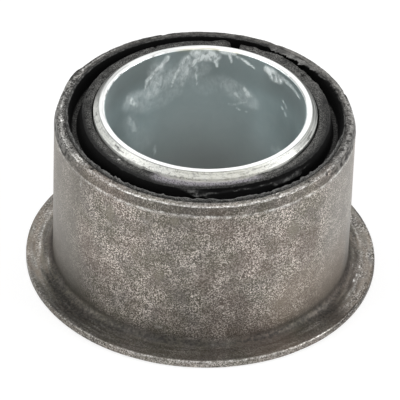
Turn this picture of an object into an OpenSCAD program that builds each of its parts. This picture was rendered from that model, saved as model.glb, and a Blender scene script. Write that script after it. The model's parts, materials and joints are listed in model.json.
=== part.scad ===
// Flanged rubber-metal bushing for the pivot of an axle beam.
// Three pieces share the Z axis: a drawn steel shell with a flange at its foot, a steel sleeve for
// the pivot bolt, and the rubber ring that is bonded between them.
// The origin is on the axis, in the plane of the flange's underside. All lengths are millimetres.

/* [Outer shell] */
// Outer diameter of the barrel, which is pressed into the eye of the axle beam
barrel_d = 72; // [66:0.5:100]
// Height of the shell, from the flange's underside to the rim
shell_h = 42.4; // [28:0.2:90]
// Thickness of the shell's wall
shell_wall = 2.6; // [1.6:0.1:3.4]
// How far the flange stands out from the barrel
flange_w = 6.5; // [4:0.5:14]
// Thickness of the flange
flange_t = 2; // [1.2:0.1:3.6]
// Radius of the hollow between the barrel and the top of the flange
flange_fillet = 2; // [0.8:0.1:3]
// Radius on the two edges of the flange
flange_edge_r = 0.4; // [0.1:0.1:0.5]
// How far the lead-in at the rim closes in, on the radius
lead_in_w = 0.65; // [0.2:0.05:1.2]
// Height of the lead-in at the rim
lead_in_h = 2.4; // [0.8:0.1:6]
// Radius on the outer edge of the rim
rim_edge_r = 0.25; // [0.05:0.05:0.5]

/* [Inner sleeve] */
// Diameter of the bore for the pivot bolt
bore_d = 48; // [30:0.5:52]
// Thickness of the sleeve's wall
sleeve_wall = 2.7; // [1.8:0.1:3.6]
// How far the sleeve stands above the rim of the shell
sleeve_proud = 2.9; // [1.5:0.1:8]
// Chamfer on the sleeve's outer edges
sleeve_chamfer = 1.2; // [0.3:0.1:1.4]
// Chamfer at both ends of the bore
bore_chamfer = 0.3; // [0.1:0.05:0.5]

/* [Rubber ring] */
// How far the rubber collar ends short of the sleeve's end faces
collar_drop = 1.8; // [1.2:0.1:3]
// Radius on the outer edge of each collar
collar_edge_r = 0.5; // [0.1:0.1:0.8]
// Share of the rubber's width between the metals that each groove takes at its mouth
groove_share = 0.44; // [0.3:0.01:0.55]
// Share of a groove's mouth that its floor keeps
groove_floor_share = 0.36; // [0.2:0.01:0.5]
// Depth of each groove, from the lip that lines the shell
groove_depth = 3.7; // [1.5:0.1:8]
// Share of a groove's mouth by which its outer wall leans in, from the lip to the floor
groove_lean_share = 0.36; // [0.1:0.01:0.45]
// Radius of the corners of a groove's floor, as a share of the floor's width
groove_round_share = 0.28; // [0.1:0.02:0.5]
// Thickness of the rubber lip that lines the shell
lip_t = 0.65; // [0.3:0.05:1.2]
// How far the lip stands above the rim of the shell
lip_proud = 0.5; // [0:0.1:1.2]
// Width of the moulding vent that crosses the upper collar
vent_w = 2.4; // [1:0.1:5]
// Depth of the moulding vent
vent_depth = 2; // [0.5:0.1:3]
// Direction of the moulding vent, counted from the X axis
vent_angle = 77; // [0:1:359]

/* [Hidden] */
$fn = 128;

// How far the vent's cut runs past the collar's face
cut_over = 1;
// How far the trim of a corner runs past the sides of the corner
trim_over = 0.2;
// How much the disc of a corner is enlarged
arc_slack = 0.0001;

barrel_r = barrel_d / 2;
shell_bore_r = barrel_r - shell_wall;
flange_r = barrel_r + flange_w;
// The sheet keeps its thickness round the bend, so the flare below follows the hollow above
flare_r = flange_fillet + flange_t;

bore_r = bore_d / 2;
sleeve_r = bore_r + sleeve_wall;
sleeve_h = shell_h + sleeve_proud;

collar_top = sleeve_h - collar_drop;
collar_foot = collar_drop;
lip_top = shell_h + lip_proud;
lip_foot = flare_r;
lip_r = shell_bore_r - lip_t;
groove_w = groove_share * (shell_bore_r - sleeve_r);
floor_w = groove_floor_share * groove_w;
floor_round_r = groove_round_share * floor_w;
collar_r = lip_r - groove_w;
floor_outer_r = lip_r - groove_lean_share * groove_w;
floor_inner_r = floor_outer_r - floor_w;
upper_floor = lip_top - groove_depth;
lower_floor = lip_foot + groove_depth;

// Unit vector from one point to another
function toward(a, b) = (b - a) / norm(b - a);

// Corner i of a rounded outline, whose points are [x, y, radius]
function at(p, i) = [p[(i + len(p)) % len(p)].x, p[(i + len(p)) % len(p)].y];

// Angle between the two sides that meet at corner i
function corner_angle(p, i) =
    acos(toward(at(p, i), at(p, i - 1)) * toward(at(p, i), at(p, i + 1)));

// Points where the rounding of corner i touches its two sides
function tangent_points(p, i) =
    let (reach = p[i].z / tan(corner_angle(p, i) / 2))
    [for (side = [-1, 1]) at(p, i) + reach * toward(at(p, i), at(p, i + side))];

// Centre of the rounding of corner i
function round_centre(p, i) =
    let (middle = toward(at(p, i), at(p, i - 1)) + toward(at(p, i), at(p, i + 1)))
    at(p, i) + middle / norm(middle) * p[i].z / sin(corner_angle(p, i) / 2);

// True where an anticlockwise outline turns left, so that corner i stands out
function stands_out(p, i) =
    cross(at(p, i) - at(p, i - 1), at(p, i + 1) - at(p, i)) > 0;

// Arc of corner i as a disc, a hair larger than its radius so that it crosses both sides cleanly
module corner_disc(p, i) {
    translate(round_centre(p, i))
        circle(r = p[i].z + arc_slack);
}

// What lies outside the arc of a corner that stands out, run a little past both sides
module corner_trim(p, i) {
    centre = round_centre(p, i);
    ends = tangent_points(p, i);
    grow = 1 + trim_over / p[i].z;
    difference() {
        polygon([for (q = [centre, ends[0], at(p, i), ends[1]]) centre + grow * (q - centre)]);
        corner_disc(p, i);
    }
}

// Outline through anticlockwise points [x, y, radius], each corner rounded by a true arc:
// a corner that stands out is trimmed, and one that turns in is bridged and then hollowed by its disc
module rounded_outline(p) {
    count = len(p);
    rounded = [for (i = [0 : count - 1]) if (p[i].z > 0) i];
    difference() {
        polygon([for (i = [0 : count - 1])
            each p[i].z > 0 && !stands_out(p, i) ? tangent_points(p, i) : [at(p, i)]]);
        for (i = rounded)
            if (stands_out(p, i))
                corner_trim(p, i);
            else
                corner_disc(p, i);
    }
}

// Drawn shell: flared foot, flange, hollow, straight barrel and tapered lead-in at the rim
module outer_shell() {
    color([0.47, 0.45, 0.41])
        rotate_extrude()
            rounded_outline([
                [shell_bore_r, 0, flare_r],
                [flange_r, 0, flange_edge_r],
                [flange_r, flange_t, flange_edge_r],
                [barrel_r, flange_t, flange_fillet],
                [barrel_r, shell_h - lead_in_h, 0],
                [barrel_r - lead_in_w, shell_h, rim_edge_r],
                [shell_bore_r, shell_h, 0]
            ]);
}

// Turned sleeve with chamfered ends
module inner_sleeve() {
    color([0.78, 0.8, 0.8])
        rotate_extrude()
            rounded_outline([
                [bore_r + bore_chamfer, 0, 0],
                [sleeve_r - sleeve_chamfer, 0, 0],
                [sleeve_r, sleeve_chamfer, 0],
                [sleeve_r, sleeve_h - sleeve_chamfer, 0],
                [sleeve_r - sleeve_chamfer, sleeve_h, 0],
                [bore_r + bore_chamfer, sleeve_h, 0],
                [bore_r, sleeve_h - bore_chamfer, 0],
                [bore_r, bore_chamfer, 0]
            ]);
}

// Section of the rubber: a collar round the sleeve, a groove and a thin lip on the shell at each end
module rubber_section() {
    rounded_outline([
        [sleeve_r, collar_foot, 0],
        [collar_r, collar_foot, collar_edge_r],
        [floor_inner_r, lower_floor, floor_round_r],
        [floor_outer_r, lower_floor, floor_round_r],
        [lip_r, lip_foot, 0],
        [shell_bore_r, lip_foot, 0],
        [shell_bore_r, lip_top, 0],
        [lip_r, lip_top, 0],
        [floor_outer_r, upper_floor, floor_round_r],
        [floor_inner_r, upper_floor, floor_round_r],
        [collar_r, collar_top, collar_edge_r],
        [sleeve_r, collar_top, 0]
    ]);
}

// Slot that crosses the upper collar from the sleeve to the groove
module vent() {
    rotate([0, 0, vent_angle])
        translate([bore_r, -vent_w / 2, collar_top - vent_depth])
            cube([floor_inner_r - bore_r, vent_w, vent_depth + cut_over]);
}

// Moulded rubber, bonded to the shell outside and to the sleeve inside
module rubber_ring() {
    color([0.13, 0.13, 0.13])
        difference() {
            rotate_extrude()
                rubber_section();
            vent();
        }
}

outer_shell();
rubber_ring();
inner_sleeve();
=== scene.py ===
import json
import math
from functools import reduce

import bpy
import numpy as np
from bpy.props import FloatProperty, FloatVectorProperty, IntProperty, PointerProperty
from mathutils import Matrix, Vector


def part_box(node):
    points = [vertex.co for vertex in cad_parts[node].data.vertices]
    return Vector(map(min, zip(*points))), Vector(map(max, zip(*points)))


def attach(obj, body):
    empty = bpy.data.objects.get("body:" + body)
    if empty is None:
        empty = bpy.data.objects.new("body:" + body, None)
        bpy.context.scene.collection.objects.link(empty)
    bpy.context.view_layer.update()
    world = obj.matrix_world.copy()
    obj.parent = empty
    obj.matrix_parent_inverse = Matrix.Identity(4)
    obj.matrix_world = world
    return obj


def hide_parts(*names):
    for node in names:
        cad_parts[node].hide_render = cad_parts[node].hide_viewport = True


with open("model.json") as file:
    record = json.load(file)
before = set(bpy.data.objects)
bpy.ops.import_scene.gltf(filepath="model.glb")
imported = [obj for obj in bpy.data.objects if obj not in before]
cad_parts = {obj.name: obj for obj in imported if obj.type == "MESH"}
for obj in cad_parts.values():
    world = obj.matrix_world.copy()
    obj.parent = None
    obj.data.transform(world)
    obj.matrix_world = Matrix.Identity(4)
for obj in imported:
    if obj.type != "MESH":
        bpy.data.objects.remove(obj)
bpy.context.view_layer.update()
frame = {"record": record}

bl_info = {
    "name": "Axle beam bushing",
    "version": (1, 0, 0),
    "blender": (4, 5, 0),
    "location": "View3D > Sidebar > Bushing",
    "description": "Dresses the flanged bushing of an axle beam: shell, moulded rubber and turned sleeve",
    "category": "Object",
}

MM = 0.001
BODY = "root"


def plain_box(box):
    """The two corners of a box as plain lists of numbers."""
    return [[float(value) for value in corner] for corner in box]


SHELL_BOX = plain_box(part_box("outer_shell"))
RUBBER_BOX = plain_box(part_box("rubber_ring"))
SLEEVE_BOX = plain_box(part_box("inner_sleeve"))
MOUNTS = {mount["name"]: mount for mount in frame["record"]["mounts"]}
BARREL_R = MOUNTS["beam_seat"]["dims"]["r_mm"] * MM
BORE_R = MOUNTS["pivot_bore"]["dims"]["r_mm"] * MM


# Sizes and colours

def length(name, description, default):
    """A length property in metres."""
    return FloatProperty(name=name, description=description, default=default, min=0.0, precision=5,
                         subtype="DISTANCE", unit="LENGTH")


def slant(name, description, degrees):
    """An angle property, given in degrees and kept in radians."""
    return FloatProperty(name=name, description=description, default=math.radians(degrees),
                         subtype="ANGLE", unit="ROTATION")


def tint(name, description, default):
    """A colour property, linear."""
    return FloatVectorProperty(name=name, description=description, default=default, size=3, min=0.0, max=1.0,
                               subtype="COLOR")


def steps_round(description, default):
    """A property for the number of columns of a ring."""
    return IntProperty(name="Columns", description=description, default=default, min=90)


class BUSHING_PG_shell(bpy.types.PropertyGroup):
    """Drawn steel shell."""
    barrel_r: length("Barrel radius", "Outer radius of the barrel", BARREL_R)
    flange_r: length("Flange radius", "Outer radius of the flange", SHELL_BOX[1][0])
    rim_h: length("Rim height", "Height of the rim above the flange's underside", SHELL_BOX[1][2])
    wall: length("Wall", "Thickness of the shell's wall", 2.6 * MM)
    flange_t: length("Flange thickness", "Thickness of the flange", 2.0 * MM)
    hollow_r: length("Hollow", "Radius between the barrel and the flange", 2.0 * MM)
    lead_in_w: length("Lead-in width", "How far the lead-in closes in at the rim", 0.65 * MM)
    lead_in_h: length("Lead-in height", "Height of the lead-in at the rim", 2.4 * MM)
    coat: tint("Coat", "Phosphate coat of the steel", (0.142, 0.129, 0.113))
    olive: tint("Oiled coat", "Oiled patches of the coat", (0.127, 0.117, 0.092))
    flecks: tint("Flecks", "Pale crystals in the coat", (0.900, 0.828, 0.760))
    # Bare steel is also the colour of the painted highlight along the rim's front.
    bare: tint("Bare steel", "Steel where the coat is rubbed off", (0.86, 0.85, 0.82))
    columns: steps_round("Steps round the shell", 720)


class BUSHING_PG_rubber(bpy.types.PropertyGroup):
    """Moulded rubber ring."""
    inner_r: length("Inner radius", "Radius where the rubber meets the sleeve", 26.7 * MM)
    outer_r: length("Outer radius", "Radius where the rubber meets the shell", RUBBER_BOX[1][0])
    collar_top: length("Collar height", "Height of the upper collar", RUBBER_BOX[1][2])
    collar_foot: length("Collar foot", "Height of the lower collar's end", RUBBER_BOX[0][2])
    lip_t: length("Lip", "Thickness of the lip on the shell", 0.65 * MM)
    lip_top: length("Lip height", "Height of the upper lip", 42.9 * MM)
    lip_foot: length("Lip foot", "Height of the lower lip's end", 4.0 * MM)
    groove_depth: length("Groove depth", "Depth of each groove below its lip", 3.7 * MM)
    vent_w: length("Vent width", "Width of the moulding vent", 2.4 * MM)
    vent_depth: length("Vent depth", "Depth of the moulding vent", 2.0 * MM)
    vent_angle: slant("Vent angle", "Direction of the moulding vent", 77.0)
    black: tint("Rubber", "Colour of the rubber", (0.011, 0.011, 0.011))
    # Dust is also the colour of the painted light on the grooves' floors and of the painted highlight on the
    # lip.
    dust: tint("Dust", "Grey bloom and dust on the collar", (0.190, 0.188, 0.179))
    residue: tint("Bonding agent", "Dried bonding agent beside the sleeve", (0.30, 0.285, 0.31))
    columns: steps_round("Steps round the rubber", 840)


class BUSHING_PG_sleeve(bpy.types.PropertyGroup):
    """Turned steel sleeve."""
    bore_r: length("Bore radius", "Radius of the bore", BORE_R)
    outer_r: length("Outer radius", "Outer radius of the sleeve", SLEEVE_BOX[1][0])
    top: length("Top", "Height of the sleeve", SLEEVE_BOX[1][2])
    chamfer: length("Chamfer", "Chamfer on the outer edges", 1.2 * MM)
    bore_chamfer: length("Bore chamfer", "Chamfer at the ends of the bore", 0.3 * MM)
    steel: tint("Steel", "Turned end faces", (0.92, 0.93, 0.92))
    chamfer_tint: tint("Chamfer steel", "Chamfer and outer wall, turned less finely", (0.44, 0.45, 0.43))
    bore_tint: tint("Bore", "Plated wall of the bore", (0.66, 0.745, 0.755))
    grease: tint("Grease", "Dried grease in the bore", (0.90, 0.93, 0.92))
    stain: tint("Stain", "Yellowish stain at the rim", (0.62, 0.58, 0.38))
    cream: tint("Bonding agent", "Dried bonding agent on the chamfer", (0.74, 0.745, 0.70))
    columns: steps_round("Steps round the sleeve", 680)


class BUSHING_PG_stage(bpy.types.PropertyGroup):
    """Floor, light and camera."""
    floor_size: length("Floor", "Side of the floor", 6.0)
    distance: length("Distance", "From the camera to the bushing", 1.0286)
    elevation: slant("Elevation", "Camera's height angle", 37.45)
    roll: slant("Roll", "Camera's turn about its own axis", 2.03)
    lens: FloatProperty(name="Lens", description="Focal length", default=383.0, min=10.0,
                        subtype="DISTANCE_CAMERA", unit="CAMERA")
    ambient: FloatProperty(name="Ambient", description="Level of the studio's white surround", default=0.35,
                           min=0.0, max=1.0, subtype="FACTOR")
    white: tint("White", "Floor and surround", (1.0, 1.0, 1.0))


# Number fields

def eased(value, low, high):
    """Smooth step: 0 below low, 1 above high, 3t^2 - 2t^3 between them."""
    t = np.clip((value - low) / (high - low), 0.0, 1.0)
    return t * t * (3.0 - 2.0 * t)


def ebbing(value, low, high):
    """Smooth step down: 1 below low, 0 above high."""
    return 1.0 - eased(value, low, high)


def limited(value):
    """A value held between 0 and 1."""
    return np.clip(value, 0.0, 1.0)


def apart(angle, centre):
    """Signed difference of two angles in degrees, from -180 to 180."""
    return (angle - centre + 180.0) % 360.0 - 180.0


def bell(value, half):
    """Bell curve: exp(-(value / half)^2)."""
    return np.exp(-(value / half) ** 2)


def round_bell(across, along, half):
    """Bell curve of the distance from a point: exp(-(across^2 + along^2) / half^2)."""
    return bell(np.hypot(across, along), half)


def strongest(*masks):
    """The largest of some masks at each point."""
    return reduce(np.maximum, masks)


def lattice(turn, rise, around, along, seed):
    """Value noise from -1 to 1: random heights on a lattice that closes in turn, eased between its points.

    turn runs from 0 to 1 round the ring, rise is in cells of the lattice's other side, from 0 to along.
    """
    heights = np.random.default_rng(seed).uniform(-1.0, 1.0, (around, along + 2))
    turn, rise = np.broadcast_arrays((turn % 1.0) * around, np.clip(rise, 0.0, along))
    i = np.floor(turn).astype(int)
    j = np.floor(rise).astype(int)
    s = eased(turn - i, 0.0, 1.0)
    t = eased(rise - j, 0.0, 1.0)
    i0, i1 = i % around, (i + 1) % around
    near = heights[i0, j] * (1.0 - s) + heights[i1, j] * s
    far = heights[i0, j + 1] * (1.0 - s) + heights[i1, j + 1] * s
    return near * (1.0 - t) + far * t


def layered(turn, rise, around, seed, cell, layers=3):
    """Value noise in layers: each layer has twice the lattice and half the height of the one before.

    rise is a length, and cell the length of the first layer's cells in that direction.
    """
    low = float(np.min(rise))
    total, weight = 0.0, 0.0
    for k in range(layers):
        cells = (rise - low) / cell * 2 ** k
        total = total + lattice(turn, cells, around * 2 ** k, int(np.max(cells)) + 1, seed + k) / 2 ** k
        weight += 1.0 / 2 ** k
    return total / weight


def stroke(across, rise, points):
    """Soft line along points (across, rise, half width): 1 on it, eased to 0 at the half width.

    The distance to each segment is that of the point's foot on it, clamped to the segment's ends.
    """
    mask = np.zeros(np.broadcast(across, rise).shape)
    for (ax, ay, ah), (bx, by, bh) in zip(points, points[1:]):
        run = (bx - ax) ** 2 + (by - ay) ** 2
        t = limited(((across - ax) * (bx - ax) + (rise - ay) * (by - ay)) / run)
        gap = np.hypot(across - ax - t * (bx - ax), rise - ay - t * (by - ay))
        mask = np.maximum(mask, ebbing(gap / (ah + t * (bh - ah)), 0.35, 1.0))
    return mask


# Rings

def rounded_profile(corners):
    """Closed outline through corners (radius, height, rounding, arc steps, spacing of the edge that follows).

    A corner is replaced by the arc that touches both its sides; the edges between arcs are divided evenly.
    """
    table = np.array(corners, float)
    point, rounding = table[:, :2], table[:, 2:3]
    back = np.roll(point, 1, axis=0) - point
    ahead = np.roll(point, -1, axis=0) - point
    back /= np.linalg.norm(back, axis=1, keepdims=True)
    ahead /= np.linalg.norm(ahead, axis=1, keepdims=True)
    half = 0.5 * np.arccos(np.clip((back * ahead).sum(axis=1, keepdims=True), -1.0, 1.0))
    first = point + back * rounding / np.tan(half)
    last = point + ahead * rounding / np.tan(half)
    middle = back + ahead
    middle /= np.maximum(np.linalg.norm(middle, axis=1, keepdims=True), 1e-9)
    centre = point + middle * rounding / np.sin(half)
    pieces = []
    for k, corner in enumerate(corners):
        following = (k + 1) % len(corners)
        if corner[2] > 0.0:
            start = math.atan2(*(first[k] - centre[k])[::-1])
            turn = (math.atan2(*(last[k] - centre[k])[::-1]) - start + math.pi) % (2 * math.pi) - math.pi
            angle = start + turn * np.linspace(0.0, 1.0, int(corner[3]) + 1)
            pieces.append(centre[k] + corner[2] * np.stack([np.cos(angle), np.sin(angle)], axis=1))
        else:
            pieces.append(point[k:k + 1])
        edge = first[following] - last[k]
        steps = max(1, round(float(np.linalg.norm(edge)) / corner[4]))
        pieces.append(last[k] + edge * (np.arange(1, steps) / steps)[:, None])
    outline = np.concatenate(pieces)
    return outline[:, 0], outline[:, 1]


def outward(r, z):
    """Outward normal of a closed anticlockwise outline: its direction turned right by a quarter."""
    dr = np.roll(r, -1) - np.roll(r, 1)
    dz = np.roll(z, -1) - np.roll(z, 1)
    size = np.hypot(dr, dz)
    return dz / size, -dr / size


class Section:
    """Closed outline that is turned round the Z axis: a row for each point, a column for each angle.

    r and z are the points in mm, nr and nz their normals, angle is in degrees and turn in whole turns.
    """

    def __init__(self, corners, columns):
        r, z = rounded_profile(corners)
        self.r, self.z, self.nr, self.nz = (value[:, None] for value in (r, z, *outward(r, z)))
        self.angle = np.arange(columns)[None, :] * (360.0 / columns)
        self.turn = self.angle / 360.0

    def arc(self, first, last, ease):
        """1 between two bearings in degrees, eased to 0 outside them."""
        half = 0.5 * (last - first)
        return ebbing(np.abs(apart(self.angle, 0.5 * (first + last))), half, half + ease)

    def near(self, bearing, half):
        """Bell curve round a bearing, in degrees."""
        return bell(apart(self.angle, bearing), half)

    def aside(self, bearing):
        """Angle from a bearing in radians, so that times a radius it is an arc's length."""
        return np.radians(apart(self.angle, bearing))

    def spread(self, bearings, values):
        """Values given at some bearings, with straight lines between them."""
        return np.interp(self.angle, bearings, values)

    def grain(self, rise, around, seed, cell, layers=3):
        """Layered noise over the turn and a length."""
        return layered(self.turn, rise, around, seed, cell, layers)

    def wave(self, around, seed, layers=3):
        """Layered noise that changes round the ring only."""
        return layered(self.turn, 0.0, around, seed, 1.0, layers)


def ring(name, r, z, masks, material, node, slot):
    """Closed ring: row i of the grid is a point of the outline, column j an angle, at (r cos, r sin, z).

    r and z are in millimetres. Each face joins two rows and two columns, and the last row and column join the
    first. masks are values of the points.
    """
    rows, columns = r.shape
    angle = np.arange(columns) * (2.0 * math.pi / columns)
    place = np.stack([r * np.cos(angle), r * np.sin(angle), z], axis=2).reshape(-1, 3) * MM
    i, j = np.meshgrid(np.arange(rows), np.arange(columns), indexing="ij")
    this, above = i * columns, (i + 1) % rows * columns
    on = (j + 1) % columns
    faces = np.stack([this + j, this + on, above + on, above + j], axis=2).reshape(-1, 4)
    edges = np.hypot(np.diff(r[:, 0], append=r[0, 0]), np.diff(z[:, 0], append=z[0, 0]))
    run = np.concatenate([[0.0], np.cumsum(edges)])
    run /= run[-1]
    u = np.stack([j, j + 1, j + 1, j], axis=2) / columns
    v = np.stack([run[i], run[i], run[i + 1], run[i + 1]], axis=2)

    mesh = bpy.data.meshes.new(name)
    mesh.vertices.add(len(place))
    mesh.vertices.foreach_set("co", place.ravel())
    mesh.loops.add(faces.size)
    mesh.loops.foreach_set("vertex_index", faces.ravel())
    mesh.polygons.add(len(faces))
    mesh.polygons.foreach_set("loop_start", np.arange(0, faces.size, 4))
    mesh.update(calc_edges=True)
    layer = mesh.uv_layers.new(name="unrolled")
    layer.data.foreach_set("uv", np.stack([u, v], axis=3).ravel())
    for label, values in masks.items():
        mesh.attributes.new(label, "FLOAT", "POINT").data.foreach_set(
            "value", np.broadcast_to(values, r.shape).astype(np.float32).ravel())
    mesh.shade_smooth()
    if mesh.validate():
        raise RuntimeError(name + " has faces that don't join")
    piece = bpy.data.objects.new(name, mesh)
    bpy.context.scene.collection.objects.link(piece)
    mesh.materials.append(material)
    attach(piece, BODY)
    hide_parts(node)
    return piece


# Node trees

class NodeBench:
    """Adds nodes to one tree. A value for an input is a plain value, or the output that feeds it."""

    def __init__(self, tree):
        self.tree = tree

    def node(self, kind, inputs=None, **settings):
        """A new node with its settings and inputs."""
        node = self.tree.nodes.new(kind)
        for key, value in settings.items():
            setattr(node, key, value)
        for key, value in (inputs or {}).items():
            self.feed(node.inputs[key], value)
        return node

    def feed(self, socket, value):
        """Links an output to a socket, or sets the socket's own value."""
        if isinstance(value, bpy.types.NodeSocket):
            self.tree.links.new(value, socket)
        elif socket.type == "RGBA":
            socket.default_value = (*tuple(value)[:3], 1.0)
        else:
            socket.default_value = value

    def maths(self, operation, first, second=0.0, clamp=False):
        node = self.node("ShaderNodeMath", {0: first, 1: second}, operation=operation, use_clamp=clamp)
        return node.outputs[0]

    def plus(self, first, second):
        return self.maths("ADD", first, second)

    def minus(self, first, second):
        return self.maths("SUBTRACT", first, second)

    def times(self, first, second):
        return self.maths("MULTIPLY", first, second)

    def step(self, value, low, high, start=0.0, end=1.0):
        """Smooth step of a value from start at low to end at high."""
        inputs = {"Value": value, "From Min": low, "From Max": high, "To Min": start, "To Max": end}
        return self.node("ShaderNodeMapRange", inputs, interpolation_type="SMOOTHSTEP").outputs[0]

    def coats(self, tone, *layers):
        """Lays layers (mask, colour) over a tone, one after another."""
        for mask, colour in layers:
            tone = self.node("ShaderNodeMix", {0: mask, 6: tone, 7: colour}, data_type="RGBA").outputs[2]
        return tone

    def noise(self, vector, scale, detail=2.0, roughness=0.5, distortion=0.0):
        inputs = {"Vector": vector, "Scale": scale, "Detail": detail, "Roughness": roughness,
                  "Distortion": distortion}
        return self.node("ShaderNodeTexNoise", inputs).outputs[0]

    def sized(self, size, metre=1000.0):
        """Noise scale for a feature size in mm."""
        return self.maths("DIVIDE", metre, size)

    def stretched(self, vector, scale):
        return self.node("ShaderNodeMapping", {"Vector": vector, "Scale": scale}).outputs[0]

    def mask(self, label):
        """A mask that is painted on the piece's points."""
        return self.node("ShaderNodeAttribute", attribute_name=label).outputs["Fac"]

    def shared(self, name, vector, *values):
        """A shared group placed with its own values, in the order of its inputs."""
        labels, output = SHARED[name][1:]
        inputs = {"Vector": vector, **dict(zip(labels, values))}
        return self.node("ShaderNodeGroup", inputs, node_tree=shared_group(name)).outputs[output]

    def bumped(self, shader, height, strength, distance):
        """Feeds a height to the shader's normal."""
        bump = self.node("ShaderNodeBump", {"Height": height, "Strength": strength, "Distance": distance})
        self.feed(shader.inputs["Normal"], bump.outputs["Normal"])


def shared_flecks(bench, given):
    """Short thin flecks: where a fine noise is within Width of its middle, cut short where another is low.

    They fade to Quiet where a coarser noise is low. Size and Clump Size are in mm.
    """
    fine = bench.noise(given["Vector"], bench.sized(given["Size"]), 1.0, 0.5, 0.5)
    clump = bench.noise(given["Vector"], bench.sized(given["Clump Size"]), 2.5, 0.55)
    chop = bench.noise(given["Vector"], bench.sized(given["Size"], 830.0), 0.0)
    off = bench.maths("ABSOLUTE", bench.minus(fine, 0.5))
    fleck = bench.step(off, bench.times(given["Width"], 0.4), given["Width"], 1.0, 0.0)
    fleck = bench.times(fleck, bench.step(chop, 0.36, 0.54))
    return bench.times(fleck, bench.step(clump, 0.34, 0.64, given["Quiet"], 1.0))


def shared_rub(bench, given):
    """Rub-through, also used for painted highlights: a painted mask that fine noise makes stronger and
    weaker. Size in mm.
    """
    speck = bench.noise(given["Vector"], bench.sized(given["Size"]), 2.0, 0.6, 0.4)
    eaten = bench.times(bench.minus(speck, 0.5), bench.times(given["Break"], 4.0))
    return bench.step(bench.times(given["Rub"], bench.plus(1.0, eaten)), 0.0, 1.0)


def shared_relief(bench, given):
    """Fine surface height: two noises, the second three times coarser. Size in mm."""
    fine = bench.noise(given["Vector"], bench.sized(given["Size"]), 3.0, 0.6)
    coarse = bench.noise(given["Vector"], bench.sized(given["Size"], 333.0), 2.0, 0.5)
    return bench.plus(fine, bench.times(coarse, given["Coarse"]))


def shared_film(bench, given):
    """Thin film, also used for painted shade: a painted amount that noise makes patchy. Size in mm."""
    cloud = bench.noise(given["Vector"], bench.sized(given["Size"]), 4.0, 0.65, 0.5)
    patch = bench.times(bench.minus(cloud, 0.5), bench.times(given["Patchy"], 4.0))
    return bench.maths("MULTIPLY", given["Amount"], bench.plus(1.0, patch), clamp=True)


# What wires each shared group, its inputs after the vector, and its output
SHARED = {
    "clustered_flecks": (shared_flecks, {"Size": 0.5, "Width": 0.06, "Clump Size": 3.0, "Quiet": 0.2},
                         "Mask"),
    "rubbed_edge_and_sheen": (shared_rub, {"Rub": 0.0, "Size": 0.6, "Break": 0.8}, "Mask"),
    "fine_relief": (shared_relief, {"Size": 0.4, "Coarse": 0.5}, "Height"),
    "thin_film_and_shade": (shared_film, {"Amount": 0.0, "Size": 1.0, "Patchy": 0.5}, "Mask"),
}


def shared_group(name):
    """A node group with a Vector input, named number inputs and one number output; made once."""
    if name in bpy.data.node_groups:
        return bpy.data.node_groups[name]
    wire, inputs, output = SHARED[name]
    tree = bpy.data.node_groups.new(name, "ShaderNodeTree")
    sockets = tree.interface
    sockets.new_socket(name="Vector", in_out="INPUT", socket_type="NodeSocketVector")
    for label, default in inputs.items():
        socket = sockets.new_socket(name=label, in_out="INPUT", socket_type="NodeSocketFloat")
        socket.default_value = default
    sockets.new_socket(name=output, in_out="OUTPUT", socket_type="NodeSocketFloat")
    bench = NodeBench(tree)
    result = wire(bench, bench.node("NodeGroupInput").outputs)
    bench.feed(bench.node("NodeGroupOutput").inputs[output], result)
    return tree


def finish(name):
    """A new material with its Principled shader and the piece's Object coordinates."""
    material = bpy.data.materials.new(name)
    material.use_nodes = True
    bench = NodeBench(material.node_tree)
    shader = material.node_tree.nodes["Principled BSDF"]
    place = bench.node("ShaderNodeTexCoord").outputs["Object"]
    return material, bench, shader, place


# Drawn shell

# Tones of the shell's coat; the soil tone is also painted shade, the smooth and pale tones also painted
# highlights on the barrel's sides, and the ruddy tone also a painted reflection of the flange
BROWN = (0.156, 0.125, 0.106)
SMOOTH_AND_HIGHLIGHT = (0.205, 0.188, 0.152)
WORN = (0.175, 0.173, 0.166)
PALE_AND_HIGHLIGHT = (0.25, 0.238, 0.222)
RUDDY_AND_REFLECTION = (0.245, 0.203, 0.163)
SOIL_AND_SHADE = (0.0235, 0.022, 0.0205)
PIT_SHADE = (0.06, 0.055, 0.048)
CHIP_SHADE = (0.016, 0.0155, 0.015)

# Nicks in the rim: bearing, depth, half width in degrees
RIM_NICKS = (
    (301.0, 0.32, 0.9), (326.2, 0.22, 0.7), (214.0, 0.25, 0.8), (186.0, 0.2, 1.1),
    (238.0, 0.15, 1.6), (20.0, 0.22, 0.9), (62.0, 0.18, 1.4), (108.0, 0.2, 1.0),
)
# Pits in the rim and the lead-in: bearing, radius, height, half width
RIM_PITS = (
    (341.4, 34.3, 42.4, 0.5), (359.2, 34.5, 42.4, 0.4), (347.8, 34.8, 42.4, 0.4), (335.3, 35.7, 40.9, 0.5),
    (325.2, 35.4, 42.0, 0.4), (316.0, 34.3, 42.4, 0.35), (352.5, 34.9, 42.4, 0.35), (204.0, 34.2, 42.4, 0.35),
    (220.0, 34.0, 42.4, 0.4),
)
# Bright beads on the rim: bearing, radius, half width in degrees, strength
RIM_BEADS = (
    (165.5, 35.35, 2.6, 0.8), (175.0, 34.4, 3.6, 0.85), (185.0, 34.25, 4.0, 0.8), (198.6, 34.9, 4.4, 0.8),
    (211.0, 35.1, 4.4, 0.75), (226.0, 34.5, 2.6, 0.6), (232.5, 34.8, 2.6, 0.6), (327.0, 34.9, 2.0, 0.45),
    (6.0, 35.2, 3.0, 0.5), (212.0, 34.15, 5.0, 0.8), (240.0, 35.15, 5.0, 1.0), (291.0, 34.9, 5.0, 0.8),
    (302.0, 34.6, 4.0, 0.6), (18.0, 34.7, 6.0, 0.45),
)
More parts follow.
